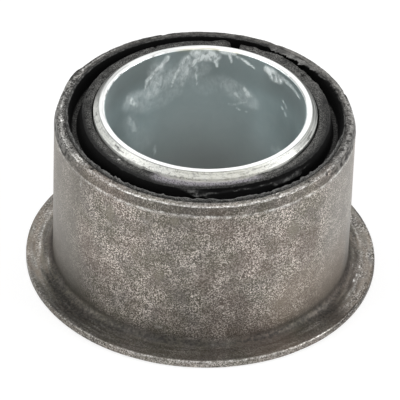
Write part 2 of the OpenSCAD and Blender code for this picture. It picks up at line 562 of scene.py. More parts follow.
# Bright dashes on the flange: bearing, radius, half width in degrees, strength
FLANGE_DASHES = (
    (183.0, 39.35, 4.0, 0.7), (192.0, 39.2, 2.0, 0.5), (175.5, 39.5, 2.5, 0.5), (188.0, 37.75, 6.0, 0.35),
    (200.0, 37.9, 4.0, 0.2), (212.0, 39.0, 5.0, 0.2), (17.0, 40.0, 1.4, 0.8), (8.0, 39.5, 1.8, 0.5),
    (2.5, 39.2, 2.0, 0.4), (354.0, 39.0, 1.8, 0.6), (349.0, 38.8, 1.4, 0.9), (345.5, 38.6, 1.4, 0.9),
)
# Radii on the flange: pressed groove, its ridge, the rubbed rings outside and inside, and the hollow's edge
GROOVE_R = 39.0
RIDGE_R = 39.4
OUTER_RING_R = 39.3
INNER_RING_R = 37.3
HOLLOW_EDGE_R = 36.9
# Bright smudges on the barrel: bearing, height, half width, half height, strength
BARREL_SMUDGES = (
    (248.6, 36.1, 0.9, 0.6, 0.3), (233.0, 31.5, 0.7, 0.6, 0.3), (217.3, 38.0, 0.5, 1.8, 0.3),
    (298.0, 26.0, 0.8, 0.7, 0.25), (277.0, 33.0, 0.7, 0.6, 0.25),
)
# Smooth patches of the barrel: bearing, height, half width, half height, strength
SMOOTH_PATCHES = (
    (233.5, 35.0, 1.6, 3.2, 0.8), (255.0, 21.5, 1.3, 2.6, 0.7), (260.0, 38.3, 1.3, 1.4, 0.7),
    (306.5, 32.0, 2.2, 4.0, 0.8), (302.5, 11.0, 1.6, 1.2, 0.7), (312.0, 6.0, 1.0, 1.2, 0.6),
    (244.0, 27.0, 1.0, 2.0, 0.5), (288.0, 20.0, 1.2, 1.6, 0.5), (330.0, 18.0, 1.5, 2.4, 0.6),
    (205.0, 20.0, 1.6, 2.6, 0.6), (170.0, 24.0, 1.5, 3.0, 0.6), (120.0, 18.0, 1.6, 3.0, 0.6),
    (75.0, 30.0, 1.6, 2.6, 0.6), (30.0, 14.0, 1.5, 2.4, 0.6), (223.7, 12.0, 0.9, 0.4, 1.0),
)
# Soil and grit round the rim, by bearing
RIM_BEARINGS = (0, 20, 36, 50, 62, 90, 128, 134, 148, 152, 164, 172, 212, 236, 304, 332, 360)
INNER_SOIL = (0.8, 0.7, 0.65, 0.65, 0.85, 0.95, 0.95, 0.85, 0.8, 0.95, 0.9, 0.85, 0.5, 0.2, 0.4, 0.8, 0.8)
OUTER_SOIL = (0.25, 0.1, 0.15, 0.2, 0.45, 0.6, 0.6, 0.6, 0.7, 1.0, 0.9, 0.3, 0.12, 0.1, 0.1, 0.3, 0.25)
LEAD_SOIL = (0.35, 0.3, 0.3, 0.35, 0.5, 0.6, 0.6, 0.65, 0.8, 1.0, 0.9, 0.35, 0.3, 0.42, 0.42, 0.45, 0.35)
RIM_GRIT = (0.3, 0.2, 0.2, 0.15, 0.1, 0.1, 0.1, 0.1, 0.15, 0.4, 0.6, 0.65, 0.5, 0.4, 0.3, 0.25, 0.3)
# Soil and painted shade on the flange's inner and outer half, by bearing
FLANGE_BEARINGS = (0, 160, 186, 198, 206, 215, 228, 240, 262, 278, 300, 312, 325, 336, 345, 360)
NEAR_SOIL_AND_SHADE = (0.15, 0.4, 0.75, 1.0, 1.1, 1.0, 0.8, 0.6, 0.2, 0.08, 0.05, 0.5, 0.85, 0.5, 0.15, 0.15)
FAR_SOIL_AND_SHADE = (0.1, 0.5, 0.25, 0.3, 0.6, 0.9, 0.75, 0.6, 0.2, 0.2, 0.25, 0.55, 0.65, 0.1, 0.0, 0.0)


def shell_finish(look):
    """Worn phosphated steel: mottled coat with pale flecks, smooth patches of an oily olive tone and bright
    rubbed edges; the soil also carries painted shade, and the smooth, pale, ruddy and rubbed tones carry
    painted highlights and a painted reflection.
    """
    material, bench, shader, place = finish("phosphated_steel")
    patch = bench.noise(place, 190.0, 3.0, 0.55)
    hue = bench.noise(place, 75.0, 2.0, 0.5)
    grain = bench.noise(place, 2700.0, 1.0, 0.6)
    soil = bench.shared("thin_film_and_shade", place, bench.mask("soil"), 0.7, 0.6)
    fleck = bench.shared("clustered_flecks", place, 0.30, 0.08, 4.6, 0.4)
    fleck = bench.times(fleck, bench.mask("fleck"))
    pit = bench.shared("clustered_flecks", bench.stretched(place, (1.0, 1.0, 0.8)), 1.1, 0.04, 5.0, 0.3)
    rub = bench.shared("rubbed_edge_and_sheen", place, bench.mask("rub"), 0.42, 1.0)
    speck = bench.times(bench.step(grain, 0.53, 0.64), bench.mask("grit"))
    chip = bench.times(bench.step(grain, 0.36, 0.47, 1.0, 0.0), bench.mask("grit"))
    tone = bench.coats(
        look.olive,
        (bench.step(patch, 0.42, 0.62), look.coat),
        (bench.step(hue, 0.42, 0.66, 0.0, 0.75), BROWN),
        (bench.mask("smooth"), SMOOTH_AND_HIGHLIGHT),
        (bench.mask("worn"), WORN),
        (bench.mask("pale"), PALE_AND_HIGHLIGHT),
        (bench.mask("ruddy"), RUDDY_AND_REFLECTION),
        (bench.times(soil, 0.9), SOIL_AND_SHADE),
        (fleck, look.flecks),
        (bench.times(pit, 0.38), PIT_SHADE),
        (rub, look.bare),
        (bench.times(speck, 0.6), look.bare),
        (bench.maths("MULTIPLY", chip, 1.1, clamp=True), CHIP_SHADE),
    )
    bench.feed(shader.inputs["Base Color"], tone)
    shader.inputs["Metallic"].default_value = 0.9
    rough = bench.plus(0.46, bench.times(bench.minus(fleck, pit), 0.12))
    rough = bench.plus(rough, bench.times(soil, 0.14))
    bench.feed(shader.inputs["Roughness"], bench.minus(rough, bench.times(rub, 0.16)))
    height = bench.shared("fine_relief", place, 0.55, 0.6)
    bench.bumped(shader, bench.plus(height, bench.times(fleck, 0.5)), 0.35, 0.00006)
    return material


class Sheet(Section):
    """Section of the drawn shell: flared foot, flange, hollow, barrel, lead-in and rim.

    It keeps the sizes in mm and the zones: masks that are 1 on their part and ease to 0 beside it.
    """

    def __init__(self, size):
        self.barrel, self.flange, self.rim = size.barrel_r / MM, size.flange_r / MM, size.rim_h / MM
        self.sheet = size.flange_t / MM
        self.inner = self.barrel - size.wall / MM
        self.seat = self.rim - size.lead_in_h / MM
        self.mouth = self.barrel - size.lead_in_w / MM
        hollow = size.hollow_r / MM
        super().__init__([
            (self.inner, 0.0, hollow + self.sheet, 8, 0.8),
            (self.flange, 0.0, 0.4, 5, 0.3),
            (self.flange, self.sheet, 0.4, 5, 0.26),
            (self.barrel, self.sheet, hollow, 9, 0.92),
            (self.barrel, self.seat, 0.5, 3, 0.2),
            (self.mouth, self.rim, 0.25, 5, 0.25),
            (self.inner, self.rim, 0.12, 3, 6.0),
        ], size.columns)
        r, z = self.r, self.z
        upper_face = eased(z, self.sheet - 0.3, self.sheet - 0.1)
        self.on_lead = eased(z, self.seat - 0.2, self.seat + 0.4)
        self.on_barrel = eased(z, 3.0, 6.0) * (1.0 - self.on_lead)
        self.on_barrel = self.on_barrel * eased(r, self.barrel - 0.1, self.barrel - 0.02)
        self.on_flange = eased(r, self.barrel + 1.0, self.barrel + 2.0) * upper_face
        self.on_face = eased(r, self.barrel + 0.6, self.barrel + 1.6) * upper_face
        self.on_top = eased(z, self.rim - 0.2, self.rim - 0.05)
        self.on_top = self.on_top * eased(r, self.inner + 0.02, self.inner + 0.2)
        self.brim = self.arc(324.0, 382.0, 10.0) * eased(r, self.flange - 0.6, self.flange - 0.35)
        self.brim = self.brim * eased(z, 0.6, 1.4)
        self.sides = self.arc(160.0, 192.0, 14.0) + self.arc(336.0, 380.0, 10.0)
        self.warm = self.on_face * self.sides * limited(0.1 + 1.6 * self.grain(r, 30, 77, 1.5))
        self.worn = 0.85 * np.maximum(self.on_top, self.on_lead) * (1.0 - self.arc(222.0, 318.0, 25.0))
        self.pits = strongest(*(
            round_bell(np.hypot(r - reach, z - level), reach * self.aside(where), wide)
            for where, reach, level, wide in RIM_PITS))


def shell_shape(s):
    """Radius and height of the shell's points: the outline plus a lift along its normals.

    The lift sums shallow dents, rings pressed into the flange, a bead at the lead-in's foot, and the rim's
    nicks and pits. A burr stands out of the rim at the back left.
    """
    r, z, inner = s.r, s.z, s.inner
    on_rim = eased(z, s.rim - 1.2, s.rim - 0.3) * eased(r, inner - 0.1, inner + 0.3)
    lift = 0.012 * s.grain(z, 9, 11, 9.0) * s.on_barrel
    lift = lift + 0.05 * s.grain(z, 150, 23, 0.7) * s.on_lead * eased(r, inner + 0.6, inner + 1.2)
    lift = lift + 0.05 * s.wave(40, 31) * eased(r, s.flange - 0.8, s.flange - 0.1)
    pressed = -0.03 * bell(r - GROOVE_R, 0.22) + 0.025 * bell(r - RIDGE_R, 0.2)
    lift = lift + s.on_flange * (pressed + 0.015 * s.grain(r, 60, 37, 0.8))
    lift = lift + 0.03 * bell(z - s.seat, 0.25) * eased(r, s.barrel - 0.2, s.barrel - 0.02)
    for where, deep, wide in RIM_NICKS:
        lift = lift - deep * s.near(where, wide) * on_rim
    lift = lift - 0.3 * s.pits
    burr = eased(s.angle, 148.0, 151.5) * ebbing(s.angle, 153.0, 167.0)
    stand = 0.46 * burr * eased(z, s.seat + 0.4, s.rim - 0.3) * eased(r, inner + 0.7, inner + 1.7)
    uneven = 0.07 * s.grain(r, 170, 41, 0.5, 2) * on_rim * (s.nz > 0.5)
    return r + s.nr * lift + stand, z + s.nz * lift + uneven


def shell_rub(s):
    """Where the coat is rubbed off: the rim, the lead-in's foot, the flange's edge and rings on the flange.
    Along the rim's front it is also a painted highlight.

    Each is a bell across its line, times arcs round the ring and noise. Soil, painted shade on the flange's
    face and pits take it away again.
    """
    r, z = s.r, s.z
    # Painted highlight: the rim is brighter along its front.
    front = s.arc(252.0, 300.0, 45.0)
    track = s.mouth - 0.2 - 0.75 * s.arc(165.0, 205.0, 30.0) + 0.24 * s.wave(70, 47)
    rim = (0.04 + 0.14 * front + 0.2 * s.arc(168.0, 325.0, 12.0)) * bell(r - track, 0.42)
    rim = rim + (0.13 + 0.17 * ebbing(r, s.inner + 0.4, s.inner + 1.0)) * front
    rim = rim + 0.2 * s.arc(335.0, 371.0, 8.0) * eased(r, s.inner + 0.5, s.inner + 1.0)
    rim = rim + 0.42 * s.arc(131.0, 150.0, 2.0) * bell(r - s.mouth + 0.75, 0.2)
    rim = rim * (0.82 + 0.6 * s.grain(r - z, 600, 43, 0.3, 1))
    beads = (0.8 * strength * s.near(where, wide) * bell(r - reach, 0.24)
             for where, reach, wide, strength in RIM_BEADS)
    rim = strongest(rim, *beads) * eased(z, s.rim - 0.25, s.rim - 0.05)

    seat = 0.38 * bell(z - s.seat + 0.1 + 0.4 * s.wave(26, 53, 4), 0.36)
    seat = seat * eased(r, s.barrel - 0.5, s.barrel - 0.2)
    seat = seat * (0.5 + 0.5 * s.arc(205.0, 335.0, 25.0)) * (0.98 + 0.7 * s.grain(z, 230, 59, 0.5, 2))

    edge = 0.12 + 0.12 * s.arc(242.0, 312.0, 12.0)
    edge = edge * round_bell(r - s.flange + 0.12, z - s.sheet + 0.12, 0.28)
    edge = edge + 0.2 * round_bell(r - s.flange, z, 0.3) + 0.16 * eased(r, s.flange - 0.15, s.flange - 0.02)
    edge = edge * (0.85 + 0.8 * s.grain(z, 340, 63, 0.4, 1)) * (1.0 - 0.6 * s.arc(206.0, 244.0, 10.0))

    broken = np.clip(0.75 + 1.2 * s.grain(r, 150, 69, 0.6, 2), 0.2, 1.0)
    dash = limited(0.35 + 1.2 * s.wave(44, 61))
    side = s.arc(160.0, 190.0, 14.0) + s.arc(340.0, 368.0, 12.0) + 0.35
    rings = s.on_flange * 0.42 * bell(r - OUTER_RING_R - 0.3 * s.wave(20, 65), 0.2) * dash * limited(side)
    inner_ring = 0.24 * bell(r - INNER_RING_R, 0.2) * (1.0 - dash) * broken
    rings = rings + inner_ring * limited(side - 0.35) * eased(z, 1.0, 1.8)
    rings = rings + s.on_flange * (0.13 + 0.12 * s.grain(r, 50, 67, 0.6))
    rings = rings + 0.18 * round_bell(r - HOLLOW_EDGE_R, z - 2.5, 0.22) * (1.1 - dash) * broken
    dashes = (strength * s.near(where, wide) * bell(r - reach, 0.19) * s.on_flange * broken
              for where, reach, wide, strength in FLANGE_DASHES)

    rub = limited(strongest(rim, seat, edge, rings, *dashes))
    shaded = (s.arc(200.0, 224.0, 8.0) + s.arc(322.0, 332.0, 6.0)) * ebbing(r, 39.6, 40.6)
    rub = rub * (1.0 - 0.7 * s.brim) * (1.0 - 0.5 * shaded * s.on_face) * (1.0 - s.pits)
    smudges = (strength * round_bell(s.aside(where) * s.barrel / wide, (z - level) / tall, 1.0) * s.on_barrel
               for where, level, wide, tall, strength in BARREL_SMUDGES)
    scrape = 0.5 * s.arc(253.8, 256.3, 0.5) * bell(z - 5.6, 0.3) * (r < s.barrel + 0.5)
    return strongest(rub, *smudges, scrape)


def shell_soil_and_shade(s):
    """Dark soil and painted shade: the strongest of painted shade in the hollow and at the barrel's foot,
    soil on the rim and the lead-in, soil and painted shade on the flange, and pits. Painted shade also
    darkens the barrel towards the bottom and on its front.

    The rim and the flange take their amounts by bearing from the tables, eased across the radius.
    """
    r, z = s.r, s.z
    # Painted shade in the hollow and at the barrel's foot, fading up the barrel; lit is painted light that
    # thins it low on the right front, where the flange reflects light onto the barrel.
    lit = s.arc(298.0, 322.0, 12.0) * eased(z, 3.4, 6.0)
    fade = 0.54 + 0.3 * s.arc(238.0, 300.0, 14.0)
    foot = (0.86 - fade * eased(z, 2.5, 5.2) - (0.86 - fade) * eased(z, 5.2, 12.0)) * (1.0 - 0.75 * lit)
    reach = 0.3 + 0.35 * s.arc(222.0, 318.0, 18.0) + 1.2 * s.arc(204.0, 232.0, 14.0)
    reach = reach + s.arc(318.0, 332.0, 10.0)
    foot = foot * eased(r, s.barrel - 0.2, s.barrel - 0.05)
    foot = foot * ebbing(r, s.barrel + reach, s.barrel + reach + 1.6) * eased(z, 1.0, 1.8)
    foot = np.clip(foot * (0.95 + 0.3 * s.grain(z, 30, 71, 4.0)), 0.0, 1.3)
    # Painted shade: the barrel darker towards the bottom.
    low = 0.2 * ebbing(z, 6.0, 26.0) * eased(z, 1.0, 1.8) * (1.0 - 0.8 * lit)

    across = eased(r, s.inner + 0.5, s.inner + 1.2)
    rim = s.spread(RIM_BEARINGS, INNER_SOIL) * (1.0 - across) + s.spread(RIM_BEARINGS, OUTER_SOIL) * across
    lead = s.spread(RIM_BEARINGS, LEAD_SOIL) * s.on_lead * eased(r, s.mouth - 0.6, s.mouth - 0.2)
    streaks = s.grain(r - z, 90, 83, 0.45)
    specks = eased(s.grain(r - z, 240, 91, 0.5, 2), 0.12, 0.35)
    specks = specks * (0.5 + 0.9 * s.arc(328.0, 378.0, 12.0) + 0.7 * s.arc(166.0, 214.0, 12.0))
    scarred = np.maximum(rim * s.on_top, lead) * (1.0 + 0.4 * streaks)
    scarred = scarred + s.worn * (0.5 * streaks + 0.8 * specks)
    facets = s.arc(150.5, 165.0, 1.5) * np.maximum(s.on_top * across, s.on_lead)
    scarred = scarred * (1.0 - facets) + 1.6 * facets * eased(s.grain(r - z, 90, 97, 0.5, 2), -0.25, -0.05)
    seam = ebbing(r, s.inner + 0.15, s.inner + 0.4) * s.on_top * s.arc(158.0, 225.0, 15.0)

    # Soil and painted shade on the flange's face: the tables by bearing, with mottling
    outer = eased(r, 38.6, 40.2)
    face = s.spread(FLANGE_BEARINGS, NEAR_SOIL_AND_SHADE) * (1.0 - outer) + s.spread(FLANGE_BEARINGS, FAR_SOIL_AND_SHADE) * outer
    face = s.on_face * limited(face + (0.18 + 0.37 * s.sides) * s.grain(r, 34, 89, 0.7))
    # Painted shade on the flange's inner face and the hollow's top, at the left and right.
    hollow_shade = 0.6 * s.arc(336.0, 378.0, 10.0) + 0.45 * s.arc(176.0, 205.0, 10.0)
    hollow_shade = s.on_face * ebbing(r, 38.5, 39.2) * hollow_shade * (0.95 + 0.5 * s.grain(r, 60, 79, 0.8, 2))
    front_brim = s.arc(212.0, 284.0, 12.0) * eased(r, 41.1, 41.5) * ebbing(r, 42.1, 42.3) * eased(z, 1.0, 1.6)

    soil = strongest(foot, low, np.clip(scarred, 0.0, 1.5), 1.3 * seam, face, hollow_shade, 0.85 * s.brim,
                     0.4 * front_brim, 2.6 * s.pits)
    # Painted shade on the barrel's front, more lower down, and a patch on its left front.
    front_shade = s.arc(264.0, 284.0, 12.0) * (0.12 + 0.15 * ebbing(z, 6.0, 30.0)) * eased(z, 5.5, 9.0)
    front_shade = front_shade + 0.16 * s.arc(226.0, 240.0, 8.0) * bell(z - 14.0, 4.0)
    soil = np.maximum(soil, (soil + front_shade) * s.on_barrel) * (1.0 - 0.6 * s.warm)
    return np.maximum(soil, 0.4 * s.arc(270.0, 276.0, 1.5) * bell(z - 11.0, 1.0) * s.on_barrel)


def shell_grit(s):
    """Bright and black grains on the rim, the outer half of the flange's sides and the flange's edge."""
    r, z = s.r, s.z
    upper_lead = eased(z, s.rim - 1.3, s.rim - 0.5) * eased(r, s.inner + 0.4, s.inner + 0.8)
    clumps = np.clip(0.75 + 0.9 * s.grain(r - z, 120, 95, 0.8, 2), 0.0, 1.4)
    rim = s.spread(RIM_BEARINGS, RIM_GRIT) * np.maximum(s.on_top, 0.6 * upper_lead) * clumps
    outer_half = s.on_flange * eased(r, 38.8, 39.6) * s.sides
    outer_half = outer_half * limited(0.5 + 1.8 * s.grain(r, 70, 99, 0.9, 2))
    outer_half = outer_half * (0.45 + 0.3 * s.arc(330.0, 380.0, 12.0))
    return strongest(rim, outer_half, 0.45 * eased(r, s.flange - 0.25, s.flange - 0.05)) * (1.0 - s.pits)


def shell_tones(s, soil):
    """Masks of the coat's tones: smooth patches, pale and ruddy sides, and flecks where these are weak. On
    the barrel the lighter tones of its sides are painted highlights, and the ruddy tone low on its right
    front a painted reflection; the pale mottling and ruddy tone on the flange are the coat's own.
    """
    r, z = s.r, s.z
    ragged = 0.45 * s.grain(z, 90, 97, 2.0)
    patches = (
        strength * ebbing(np.hypot(s.aside(where) * s.barrel / wide, (z - level) / tall) + ragged, 0.5, 1.1)
        for where, level, wide, tall, strength in SMOOTH_PATCHES)
    # Painted highlight: a lighter smooth tone on the barrel's left and right sides.
    smooth = strongest(*patches, 0.35 * s.arc(332.0, 372.0, 10.0) + 0.4 * s.arc(168.0, 208.0, 12.0))
    smooth = np.maximum(smooth * s.on_barrel, 0.9 * s.warm)

    quiet_left = s.arc(180.0, 212.0, 16.0) * ebbing(z, 10.0, 28.0)
    quiet_right = s.arc(326.0, 352.0, 16.0) * ebbing(z, 8.0, 24.0)
    # Painted highlight: a pale tone on the barrel's left and right sides, reaching lower where the flecks are
    # quiet.
    pale = 0.66 * s.arc(330.0, 375.0, 14.0) + 0.42 * s.arc(165.0, 208.0, 16.0)
    pale = s.on_barrel * limited(pale + 0.45 * quiet_right + 0.2 * quiet_left)
    mottled = limited(0.4 + 0.6 * s.arc(340.0, 366.0, 8.0) + 2.2 * s.grain(r, 110, 73, 0.6))
    mottled = 0.9 * s.on_face * s.sides * eased(r, 38.9, 39.7) * mottled * (1.0 - 0.6 * s.warm)

    # Painted reflection: a lighter ruddy tone low on the barrel's right front, where the flange reflects
    # light onto it.
    ruddy = 0.7 * s.on_barrel * s.arc(304.0, 338.0, 12.0) * ebbing(z, 12.0, 24.0)
    rusty = 0.8 * s.on_face * s.sides * limited(0.45 + 1.6 * s.grain(r, 40, 175, 1.2))

    low = (0.45 - 0.25 * s.arc(240.0, 280.0, 12.0)) * ebbing(z, 2.5, 12.0)
    fleck = limited(1.0 - 1.05 * soil - 0.25 * s.on_lead - low) * (1.0 - 0.8 * smooth) * (1.0 - 0.85 * s.worn)
    fleck = fleck * (1.0 - 0.3 * s.arc(178.0, 218.0, 15.0) - 0.15 * s.arc(312.0, 350.0, 12.0))
    fleck = fleck * (1.0 - 0.45 * s.on_face) * (1.0 - 0.5 * (quiet_left + quiet_right))
    return {"smooth": smooth, "pale": np.maximum(pale, mottled), "ruddy": np.maximum(ruddy, rusty),
            "fleck": fleck}


def draw_shell(size):
    """Drawn sheet turned round the Z axis, with its painted masks."""
    s = Sheet(size)
    soil = shell_soil_and_shade(s)
    masks = {"rub": shell_rub(s), "soil": soil, "worn": s.worn, "grit": shell_grit(s), **shell_tones(s, soil)}
    return ring("drawn_shell", *shell_shape(s), masks, shell_finish(size), "outer_shell", "shell_steel")


# Moulded rubber

# Tones on the rubber; the deepest black is painted shade
SCUFF_AND_SHEEN = (0.17, 0.17, 0.165)
SMEARED = (0.56, 0.55, 0.53)
SHADE_BLACK = (0.002, 0.002, 0.002)

# A groove's mouth as a share of the rubber's width, its floor and lean as shares of the mouth, and the arcs
# of its floor as a share of the floor
GROOVE_SHARE = 0.44
FLOOR_SHARE = 0.36
LEAN_SHARE = 0.36
ROUND_SHARE = 0.28

# How far the collar's edge stands out of its circle, by bearing
COLLAR_BEARINGS = (0.0, 41.0, 49.0, 54.0, 59.0, 66.0, 79.5, 82.0, 85.0, 88.0, 135.0, 188.0, 222.0, 251.0,
                   262.0, 272.0, 293.0, 312.0, 332.0, 360.0)
COLLAR_MARGIN = (-0.1, 0.35, 0.5, 1.1, 0.5, 0.35, 0.3, 1.1, 1.0, 0.25, -0.1, -0.6, -0.2, 0.2, -0.2,
                 -0.7, -0.95, -0.5, -0.15, -0.1)
# Bites in the collar's face: bearing, radius, depth, half width
COLLAR_BITES = (
    (85.3, 30.0, 0.9, 0.36), (36.5, 28.6, 0.6, 0.45), (115.4, 29.5, 0.7, 0.35), (52.0, 29.4, 0.35, 0.6),
    (312.0, 28.2, 0.2, 0.5), (205.0, 28.9, 0.2, 0.5), (152.0, 28.4, 0.25, 0.4), (163.0, 28.7, 0.4, 0.28),
    (170.0, 29.3, 0.35, 0.24), (178.0, 28.2, 0.35, 0.26), (187.0, 29.0, 0.4, 0.28), (196.0, 28.5, 0.35, 0.24),
    (214.0, 29.1, 0.4, 0.26), (238.0, 28.6, 0.35, 0.24), (335.0, 29.2, 0.4, 0.28),
)
# Bearing and height of the largest lump of flash in the groove
LUMP_BEARING = 267.4
LUMP_Z = 42.2
# How pale the lip is, by bearing: its dust, and the painted highlight on its edge
LIP_BEARINGS = (0, 5, 27, 34, 44, 50, 56, 62, 150, 165, 240, 300, 340, 360)
LIP_DUST_AND_SHEEN = (0.7, 0.15, 0.15, 0.35, 0.6, 0.55, 0.35, 0.25, 0.28, 0.45, 1.0, 0.95, 0.6, 0.7)


def rubber_finish(look):
    """Matt black rubber: speckled grey bloom on the collar, dried bonding agent beside the sleeve, black
    painted shade in its hollows, painted light on the grooves' floors and a painted highlight on the lip.
    """
    material, bench, shader, place = finish("moulded_rubber")
    bloom = bench.shared("clustered_flecks", place, 0.28, 0.15, 1.6, 0.5)
    dust = bench.times(bench.plus(0.1, bench.times(bloom, 0.9)), bench.mask("dust"))
    # Scuffs, and the painted highlight along the lip's edge
    ridge = bench.shared("rubbed_edge_and_sheen", place, bench.mask("scuff"), 0.6, 1.1)
    dried = bench.shared("thin_film_and_shade", place, bench.mask("residue"), 0.4, 2.2)
    smear = bench.shared("thin_film_and_shade", place, bench.mask("smeared"), 0.7, 0.8)
    pit = bench.mask("pit")
    tone = bench.coats(look.black, (dust, look.dust), (bench.times(ridge, 0.8), SCUFF_AND_SHEEN),
                       (dried, look.residue), (smear, SMEARED), (pit, SHADE_BLACK))
    bench.feed(shader.inputs["Base Color"], tone)
    rough = bench.plus(0.62, bench.times(dust, 0.2))
    bench.feed(shader.inputs["Roughness"], bench.plus(rough, bench.times(pit, 0.33)))
    shader.inputs["Specular IOR Level"].default_value = 0.12
    bench.bumped(shader, bench.shared("fine_relief", place, 0.45, 0.8), 0.5, 0.0001)
    return material


class Moulding(Section):
    """Section of the rubber, with its sizes and zones: a collar, a groove and a lip at each end."""

    def __init__(self, size):
        self.sleeve, self.shell = size.inner_r / MM, size.outer_r / MM
        self.top, self.foot = size.collar_top / MM, size.collar_foot / MM
        self.lip_top, lip_foot = size.lip_top / MM, size.lip_foot / MM
        self.lip = self.shell - size.lip_t / MM
        mouth = GROOVE_SHARE * (self.shell - self.sleeve)
        self.collar = self.lip - mouth
        self.floor_out = self.lip - LEAN_SHARE * mouth
        self.floor_in = self.floor_out - FLOOR_SHARE * mouth
        floor_round = ROUND_SHARE * FLOOR_SHARE * mouth
        self.upper, lower = self.lip_top - size.groove_depth / MM, lip_foot + size.groove_depth / MM
        super().__init__([
            (self.sleeve, self.foot + 0.5, 0.0, 0, 0.3),
            (self.sleeve + 0.25, self.foot, 0.12, 2, 0.6),
            (self.collar, self.foot, 0.5, 4, 1.2),
            (self.floor_in, lower, floor_round, 2, 0.6),
            (self.floor_out, lower, floor_round, 2, 1.2),
            (self.lip, lip_foot, 0.12, 3, 0.2),
            (self.shell, lip_foot, 0.0, 0, 14.0),
            (self.shell, self.lip_top - 0.7, 0.0, 0, 0.25),
            (self.shell, self.lip_top, 0.16, 3, 0.14),
            (self.lip, self.lip_top, 0.16, 3, 0.26),
            (self.floor_out, self.upper, floor_round, 3, 0.3),
            (self.floor_in, self.upper, floor_round, 3, 0.22),
            (self.collar, self.top, 0.5, 7, 0.2),
            (self.sleeve + 0.42, self.top, 0.14, 3, 0.2),
            (self.sleeve, self.top - 0.9, 0.0, 0, 14.0),
        ], size.columns)
        r, z, top = self.r, self.z, self.top
        self.on_top = eased(z, top - 0.6, top - 0.2) * ebbing(r, self.collar + 0.1, self.collar + 0.4)
        self.on_lip = eased(z, self.lip_top - 0.8, self.lip_top - 0.1) * eased(r, self.lip - 0.4, self.lip)
        self.filled = self.arc(240.0, 303.0, 8.0)
        self.bites = strongest(*(
            deep * round_bell(r * self.aside(where), r - reach, wide) * eased(z, top - 1.0, top - 0.6)
            for where, reach, deep, wide in COLLAR_BITES))
        sloping = z - LUMP_Z + 0.11 * apart(self.angle, LUMP_BEARING)
        lump = 1.35 * self.near(LUMP_BEARING, 4.4) * bell(sloping, 0.6)
        lump = lump * (0.8 + 0.9 * self.grain(z, 130, 127, 0.5, 2))
        lump = lump + 0.65 * self.arc(305.0, 318.0, 3.0) * bell(z - 41.7, 0.5)
        lump = lump * (self.nr > 0.0) * eased(r, self.collar - 0.3, self.collar + 0.1)
        self.lump = lump * ebbing(r, self.floor_in + 0.1, self.floor_out)


def rubber_shape(s, size):
    """Radius and height of the rubber's points, and the mask of the vent.

    The outline moves along its normals by noise. The collar's edge shifts by the table, fading down the
    groove's wall; lumps of flash push that wall out, bites sink into the collar, and the lip frays inwards.
    The vent is a slot of parallel sides, where the height is held down to its sill.
    """
    r, z, top, upper = s.r, s.z, s.top, s.upper
    on_edge = round_bell(r - s.collar, z - top + 0.2, 0.8)
    on_wall = eased(z, upper + 0.8, top - 0.8) * eased(r, s.collar - 0.4, s.collar)
    on_wall = on_wall * ebbing(r, s.floor_in, s.floor_in + 0.2)
    ragged = s.arc(22.0, 68.0, 10.0) + 0.8 * s.arc(255.0, 325.0, 12.0)
    push = 0.10 * s.wave(18, 101) * np.maximum(on_edge, on_wall)
    push = push + 0.3 * s.wave(80, 103, 4) * ragged * on_edge
    push = push + 0.07 * s.grain(z, 120, 107, 0.8) * on_wall
    push = push + 0.03 * s.grain(r, 90, 113, 0.7) * s.on_top

    shift = s.spread(COLLAR_BEARINGS, COLLAR_MARGIN)
    shift = shift * limited((r - s.sleeve - 0.4) / (s.collar - s.sleeve - 0.8))
    shift = shift * limited((z - upper) / (top - 0.6 - upper))
    shift = shift * ebbing(r, s.floor_in, s.floor_in + 0.3) * (z > upper)

    torn = 0.2 + 0.8 * s.arc(20.0, 72.0, 12.0) + 0.22 * s.arc(205.0, 330.0, 15.0)
    fray = torn * s.wave(200, 131) * s.on_lip
    rise = 0.3 * fray + s.on_lip * (0.6 * s.near(231.6, 0.6) + 0.4 * s.near(233.4, 0.5))
    lean = (0.8 + s.arc(24.0, 60.0, 6.0)) * np.clip(fray + 0.1 * torn, -0.2, 1.0)
    lean = lean + 0.75 * s.near(46.0, 4.5) - 0.42 * s.arc(352.0, 386.0, 6.0)
    radius = r + s.nr * push + s.lump + shift - lean * s.on_lip * ebbing(r, s.lip + 0.1, s.shell)
    height = z + s.nz * push + rise - s.bites
    crevice = (r < s.sleeve + 0.4) & (z > top - 1.0) & (z < top)
    height = height + np.where(crevice, s.filled * (top - z), 0.0)

    bearing = np.radians(s.angle) - size.vent_angle
    half = 0.5 * size.vent_w / MM
    slot = ebbing(np.abs(radius * np.sin(bearing)), half - 0.12, half + 0.1)
    slot = slot * (np.cos(bearing) > 0.0) * (radius < s.floor_in + 0.05)
    sill = top - size.vent_depth / MM
    height = np.where(z > upper, height + slot * (np.minimum(height, sill) - height), height)
    return radius, height, slot


